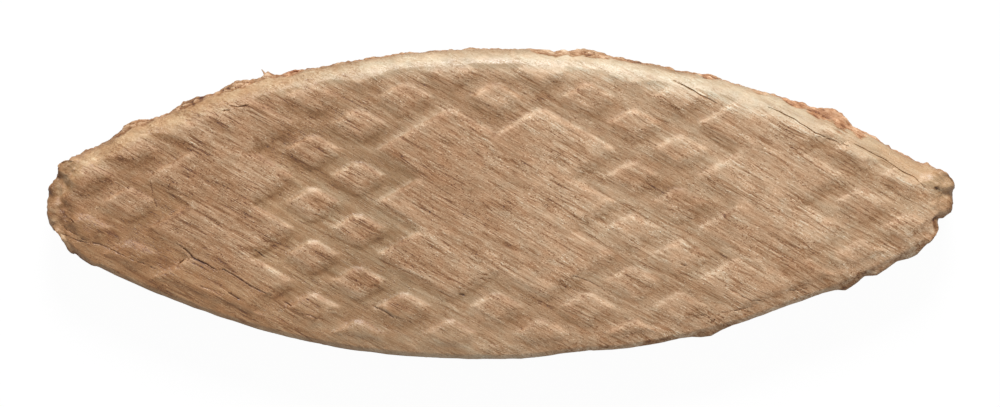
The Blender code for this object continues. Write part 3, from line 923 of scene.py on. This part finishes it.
def beech_group():
    """Colour, roughness and fine height of beech, from a tone, its fibres and its pores."""
    tree, given, out = new_group(
        "beech", [("Tone", "NodeSocketFloat", 0.6), ("Contrast", "NodeSocketFloat", 1.0)],
        [("Color", "NodeSocketColor"), ("Roughness", "NodeSocketFloat"),
         ("Height", "NodeSocketFloat")])
    frame_node = add_node(tree, "ShaderNodeGroup", {"node_tree": bpy.data.node_groups["grain_frame"]})
    place = frame_node.outputs["Place"]
    layers = {name: streaks(tree, place, *sizes) for name, sizes in BEECH_LAYERS.items()}
    marks = 0.0
    for name, (start, full, change) in BEECH_MARKS.items():
        marks = maths(tree, "MULTIPLY_ADD", ramp(tree, layers[name], start, full), change, marks)
    off_line = maths(tree, "ABSOLUTE", maths(tree, "SUBTRACT", layers["lines"], 0.5))
    line = maths(tree, "MULTIPLY", ramp(tree, off_line, 0.055, 0.008),
                 ramp(tree, layers["line_patches"], 0.43, 0.57))
    marks = maths(tree, "MULTIPLY_ADD", line, LINE_TONE, marks)
    thin_strands = strands(tree, place, *THIN_STRANDS[:3])
    fine = add_tone(tree, marks, layers["fibres"], FIBRE_TONE)
    fine = maths(tree, "MULTIPLY", fine, ramp(tree, layers["roughness"], 0.40, 0.60, 0.70, 1.20))
    fine = add_tone(tree, fine, strands(tree, place, *THICK_STRANDS[:3]), THICK_STRANDS[3])
    fine = add_tone(tree, fine, thin_strands, THIN_STRANDS[3])
    fine = maths(tree, "ADD", fine, 0.015)
    grain = maths(tree, "MULTIPLY", fine, given.outputs["Contrast"])
    grain = add_tone(tree, grain, layers["broad"], BROAD_TONE)
    grain = add_tone(tree, grain, layers["bands"], BAND_TONE)
    grain = add_tone(tree, grain, layers["mottle"], MOTTLE_TONE)
    tone = maths(tree, "ADD", grain, given.outputs["Tone"])
    mapped = add_node(tree, "ShaderNodeValToRGB", None, {"Fac": tone})
    stops = mapped.color_ramp.elements
    stops.remove(stops[1])
    stops[0].position, stops[0].color = BEECH_TONES[0][0], paint(*BEECH_TONES[0][1])
    for position, colour in BEECH_TONES[1:]:
        stops.new(position).color = paint(*colour)

    hue = maths(tree, "SUBTRACT", layers["hue"], 0.5)
    tint = add_node(tree, "ShaderNodeCombineXYZ", None, {
        "X": maths(tree, "MULTIPLY_ADD", hue, 0.20, 1.0), "Y": 0.955,
        "Z": maths(tree, "MULTIPLY_ADD", hue, -0.12, 0.91)}).outputs[0]
    colour = blend_colours(tree, 1.0, mapped.outputs["Color"], tint, "MULTIPLY")
    height = add_tone(tree, 0.5, thin_strands, 0.15)
    height = maths(tree, "MULTIPLY_ADD", fine, 1.8, height)
    roughness = maths(tree, "MULTIPLY_ADD", layers["fibres"], 0.30, 0.42)
    tree.links.new(colour, out.inputs["Color"])
    tree.links.new(roughness, out.inputs["Roughness"])
    tree.links.new(height, out.inputs["Height"])
    return tree


def mask_value(tree, name):
    """A vertex mask of the mesh."""
    settings = {"attribute_type": "GEOMETRY", "attribute_name": name}
    return add_node(tree, "ShaderNodeAttribute", settings).outputs["Fac"]


def pressed_beech():
    """Beech with painted shade in the grooves and a painted highlight on the pale roll; raw where torn.
    """
    material = bpy.data.materials.new("pressed_beech")
    material.use_nodes = True
    tree = material.node_tree
    shader = tree.nodes["Principled BSDF"]
    along = add_node(tree, "ShaderNodeSeparateXYZ", None, {
        "Vector": tree.nodes.new("ShaderNodeTexCoord").outputs["Object"]}).outputs["X"]
    half = TONED_HALF_LENGTH * MM
    tone = maths(tree, "ADD", ramp(tree, along, -half, half, *EVEN_TONES), mask_value(tree, "shade"))
    burnish = mask_value(tree, "burnish")
    left, right = SMOOTHED_BETWEEN
    smoothing = ramp(tree, along, left * MM, right * MM, *SMOOTHED)
    wood = add_node(tree, "ShaderNodeGroup", {"node_tree": bpy.data.node_groups["beech"]},
                    {"Tone": tone, "Contrast": maths(tree, "MULTIPLY_ADD", burnish, smoothing, 1.0)})
    off_middle = maths(tree, "ABSOLUTE", maths(tree, "SUBTRACT", along, RIM_TINT_MIDDLE * MM))
    near, far = RIM_TINT_REACH
    rim_tint = blend_colours(tree, ramp(tree, off_middle, near * MM, far * MM), *RIM_TINTS)
    colour = blend_colours(tree, burnish, wood.outputs["Color"], rim_tint, "MULTIPLY")
    colour = blend_colours(tree, mask_value(tree, "red"), colour, TORN_TINT, "MULTIPLY")
    roughness = maths(tree, "MULTIPLY_ADD", burnish, -0.22, wood.outputs["Roughness"])
    height = maths(tree, "MULTIPLY", wood.outputs["Height"],
                   maths(tree, "MULTIPLY_ADD", burnish, -0.3, 1.0))
    bump = add_node(tree, "ShaderNodeBump", None, {
        "Height": height, "Strength": 0.5, "Distance": 0.05 * MM})
    tree.links.new(colour, shader.inputs["Base Color"])
    tree.links.new(roughness, shader.inputs["Roughness"])
    tree.links.new(bump.outputs["Normal"], shader.inputs["Normal"])
    return material


def white_stage():
    """Pale floor that keeps a soft shadow, a white sky and one soft lamp behind the object."""
    sheet = bmesh.new()
    bmesh.ops.create_grid(sheet, x_segments=1, y_segments=1, size=FLOOR_SIZE / 2)
    mesh = bpy.data.meshes.new("floor")
    sheet.to_mesh(mesh)
    sheet.free()
    floor = link_piece("floor", mesh)
    material = bpy.data.materials.new("white_paper")
    material.use_nodes = True
    tree = material.node_tree
    shader = tree.nodes["Principled BSDF"]
    shader.inputs["Base Color"].default_value = (FLOOR_GREY, FLOOR_GREY, FLOOR_GREY, 1.0)
    shader.inputs["Roughness"].default_value = 0.9
    glow = add_node(tree, "ShaderNodeEmission", None, {
        "Color": (1, 1, 1, 1), "Strength": FLOOR_GLOW})
    ray = tree.nodes.new("ShaderNodeLightPath")
    share = maths(tree, "MULTIPLY", ray.outputs["Is Camera Ray"], FLOOR_GLOW_SHARE)
    mixed = add_node(tree, "ShaderNodeMixShader", None, {
        "Fac": share, 1: shader.outputs[0], 2: glow.outputs[0]})
    tree.links.new(mixed.outputs[0], tree.nodes["Material Output"].inputs["Surface"])
    floor.data.materials.append(material)

    world = bpy.data.worlds.new("studio")
    world.use_nodes = True
    bpy.context.scene.world = world
    tree = world.node_tree
    ray = tree.nodes.new("ShaderNodeLightPath")
    seen = maths(tree, "MAXIMUM", ray.outputs["Is Camera Ray"], ray.outputs["Is Glossy Ray"])
    seen = maths(tree, "MAXIMUM", seen, ray.outputs["Is Transmission Ray"])
    strength = ramp(tree, seen, 0.0, 1.0, SKY_STRENGTH, 1.0)
    sky = tree.nodes["Background"]
    sky.inputs["Color"].default_value = (1, 1, 1, 1)
    tree.links.new(strength, sky.inputs["Strength"])

    lamp = bpy.data.lights.new("key", "AREA")
    lamp.shape = "DISK"
    lamp.size = KEY_SIZE
    lamp.energy = KEY_POWER
    key = bpy.data.objects.new("key", lamp)
    key.location = KEY_PLACE
    key.rotation_euler = Vector(KEY_PLACE).to_track_quat("Z", "Y").to_euler()
    bpy.context.scene.collection.objects.link(key)


def overhead_camera(top):
    """Camera straight above the middle, with the photo's frame at the upper face."""
    lens = bpy.data.cameras.new("camera")
    lens.sensor_width = SENSOR_WIDTH
    lens.lens = SENSOR_WIDTH * (CAMERA_HEIGHT - top) / (PHOTO_WIDTH_MM * MM)
    lens.clip_start = 0.01
    camera = bpy.data.objects.new("camera", lens)
    camera.location = (0.0, 0.0, CAMERA_HEIGHT)
    bpy.context.scene.collection.objects.link(camera)
    bpy.context.scene.camera = camera


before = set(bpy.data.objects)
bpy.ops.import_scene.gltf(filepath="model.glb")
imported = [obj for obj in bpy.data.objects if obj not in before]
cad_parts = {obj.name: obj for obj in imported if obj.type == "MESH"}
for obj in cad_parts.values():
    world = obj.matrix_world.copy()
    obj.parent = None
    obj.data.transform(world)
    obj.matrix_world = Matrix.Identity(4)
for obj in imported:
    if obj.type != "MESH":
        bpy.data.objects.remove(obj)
cad_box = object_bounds()

grain_frame_group()
beech_group()
beech = pressed_beech()

wood = wood_piece(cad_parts["biscuit"])
wood.data.materials.clear()
wood.data.materials.append(beech)
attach(wood, "root")
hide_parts("biscuit")
for name, shape in SPLINTERS.items():
    piece = splinter(name, *shape)
    piece.data.materials.append(beech)
    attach(piece, "root")

white_stage()
overhead_camera(cad_box[1].z)
bpy.context.scene.view_settings.view_transform = "Standard"
